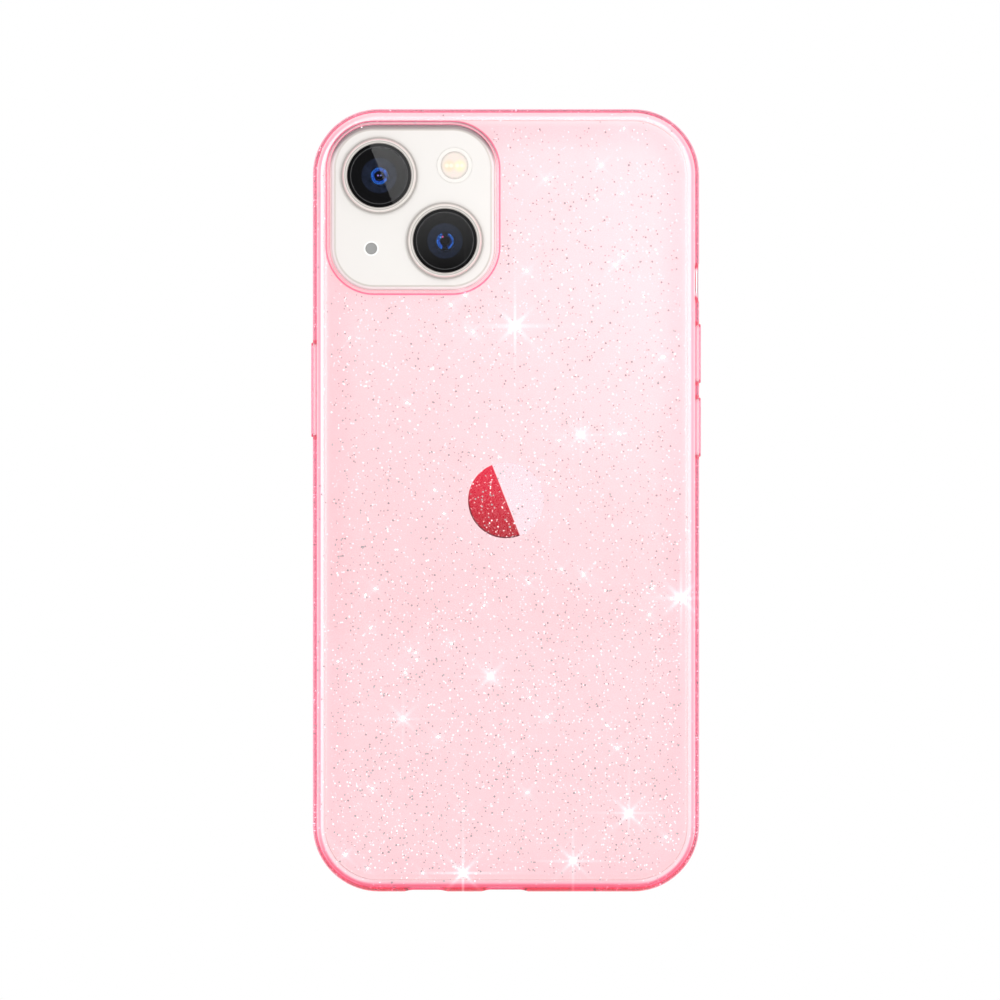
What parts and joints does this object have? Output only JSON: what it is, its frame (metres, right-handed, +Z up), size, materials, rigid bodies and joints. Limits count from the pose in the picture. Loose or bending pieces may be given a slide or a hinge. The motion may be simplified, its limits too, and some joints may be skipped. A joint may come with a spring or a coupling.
{
  "type": "phone case",
  "caption": "Soft translucent phone case with a raised camera guard, pressable button covers and edge openings, fitted on a plain removable handset.",
  "frame": {"origin": "bottom centre of the case's bounding box; the case stands on its bottom edge", "axes": "+Z up along the case's height, +X to the right when the back is seen, +Y from the back to the screen"},
  "size_m": [0.074, 0.0112, 0.1486],
  "materials": {
    "tpu": "moulded soft polyurethane, clear pink with glitter",
    "tpu_web": "thin flexing skin of the same polyurethane",
    "tpu_cover": "moulded soft polyurethane, clear pink",
    "frame_metal": "fine bead-blasted, champagne anodised",
    "switch_enamel": "satin anodised",
    "back_glass": "polished, pale warm white backing",
    "plateau_glass": "satin etched, pale warm white backing",
    "emblem_mirror": "polished metal film",
    "antenna_plastic": "matt",
    "lens_ring_metal": "polished, champagne anodised",
    "lens_window_glass": "coated sapphire-like cover",
    "lens_barrel_plastic": "anti-reflection black with fine steps",
    "lens_element_glass": "blue anti-reflection coating",
    "lens_iris": "matt black",
    "flash_bezel_metal": "satin",
    "flash_diffuser": "ribbed clear diffuser",
    "flash_phosphor": "phosphor coated",
    "mesh_steel": "woven mesh",
    "display_glass": "polished, black border",
    "display_panel": "switched-off display",
    "front_camera_glass": "polished",
    "carrier_metal": "plain sheet",
    "battery_wrap": "black film wrap",
    "board_laminate": "blue-black solder mask",
    "port_steel": "drawn steel",
    "port_plastic": "moulded black",
    "screw_steel": "turned steel"
  },
  "bodies": {
    "case": {"case_shell": "tpu", "retaining_lip": "tpu", "volume_up_web": "tpu_web", "volume_down_web": "tpu_web", "side_button_web": "tpu_web"},
    "volume_up_cover": {"volume_up_cover": "tpu_cover"},
    "volume_down_cover": {"volume_down_cover": "tpu_cover"},
    "side_button_cover": {"side_button_cover": "tpu_cover"},
    "handset": {"antenna_breaks": "antenna_plastic", "back_emblem": "emblem_mirror", "battery": "battery_wrap", "bottom_meshes": "mesh_steel", "bottom_screws": "screw_steel", "camera_plateau": "plateau_glass", "carrier_plate": "carrier_metal", "display_glass": "display_glass", "display_panel": "display_panel", "earpiece_mesh": "mesh_steel", "flash_bezel": "flash_bezel_metal", "flash_emitters": "flash_phosphor", "flash_window": "flash_diffuser", "front_camera": "front_camera_glass", "handset_back_glass": "back_glass", "handset_frame": "frame_metal", "lower_lens_barrel": "lens_barrel_plastic", "lower_lens_element": "lens_element_glass", "lower_lens_iris": "lens_iris", "lower_lens_ring": "lens_ring_metal", "lower_lens_window": "lens_window_glass", "main_board": "board_laminate", "port_shell": "port_steel", "port_tongue": "port_plastic", "rear_microphone_mesh": "mesh_steel", "upper_lens_barrel": "lens_barrel_plastic", "upper_lens_element": "lens_element_glass", "upper_lens_iris": "lens_iris", "upper_lens_ring": "lens_ring_metal", "upper_lens_window": "lens_window_glass"},
    "handset_volume_up_button": {"handset_volume_up_button": "frame_metal"},
    "handset_volume_down_button": {"handset_volume_down_button": "frame_metal"},
    "handset_side_button": {"handset_side_button": "frame_metal"},
    "ring_switch": {"ring_switch": "switch_enamel"}
  },
  "joints": [
    {"name": "handset_lift_out", "type": "slide", "parent": "case", "child": "handset", "axis": [0, 1, 0], "range_m": [0, 0.03], "deforming": ["retaining_lip"]},
    {"name": "volume_up_press", "type": "slide", "parent": "case", "child": "volume_up_cover", "axis": [-1, 0, 0], "range_m": [0, 0.00025], "deforming": ["volume_up_web"]},
    {"name": "volume_down_press", "type": "slide", "parent": "case", "child": "volume_down_cover", "axis": [-1, 0, 0], "range_m": [0, 0.00025], "deforming": ["volume_down_web"]},
    {"name": "side_button_press", "type": "slide", "parent": "case", "child": "side_button_cover", "axis": [1, 0, 0], "range_m": [0, 0.00025], "deforming": ["side_button_web"]},
    {"name": "handset_volume_up_travel", "type": "slide", "parent": "handset", "child": "handset_volume_up_button", "axis": [-1, 0, 0], "range_m": [0, 0.00025]},
    {"name": "handset_volume_down_travel", "type": "slide", "parent": "handset", "child": "handset_volume_down_button", "axis": [-1, 0, 0], "range_m": [0, 0.00025]},
    {"name": "handset_side_button_travel", "type": "slide", "parent": "handset", "child": "handset_side_button", "axis": [1, 0, 0], "range_m": [0, 0.00025]},
    {"name": "ring_switch_slide", "type": "slide", "parent": "handset", "child": "ring_switch", "axis": [0, 1, 0], "range_m": [0, 0.0012]}
  ],
  "couplings": [
    {"joint": "handset_volume_up_travel", "follows": "volume_up_press", "ratio": 1},
    {"joint": "handset_volume_down_travel", "follows": "volume_down_press", "ratio": 1},
    {"joint": "handset_side_button_travel", "follows": "side_button_press", "ratio": 1}
  ]
}
